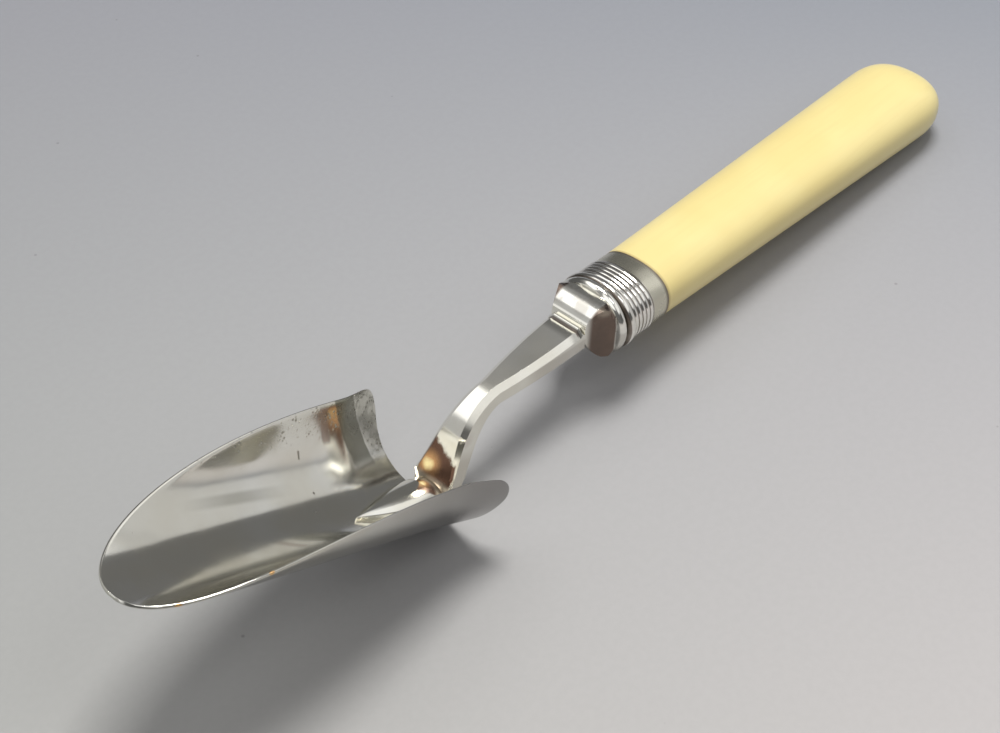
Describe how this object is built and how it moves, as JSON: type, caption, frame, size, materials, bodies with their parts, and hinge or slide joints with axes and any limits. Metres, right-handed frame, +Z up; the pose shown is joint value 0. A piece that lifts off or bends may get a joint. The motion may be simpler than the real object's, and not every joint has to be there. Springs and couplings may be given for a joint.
{
  "type": "cheese scoop",
  "caption": "Long cheese scoop with a formed sheet trough, a cranked shank, a reeded ferrule and a flattened oval handle.",
  "frame": {"origin": "centre of the bounding box on the surface that the scoop lies on", "axes": "+X towards the handle's butt, +Z up, the XZ plane is the scoop's middle plane"},
  "size_m": [0.218, 0.0334, 0.0375],
  "materials": {
    "plate": "polished silver plate, lightly worn",
    "silver": "polished silver",
    "handle": "polished, ivory-coloured",
    "cement": "matt"
  },
  "bodies": {
    "root": {"blade": "plate", "shank": "plate", "ferrule": "silver", "handle": "handle", "cement": "cement"}
  },
  "joints": []
}
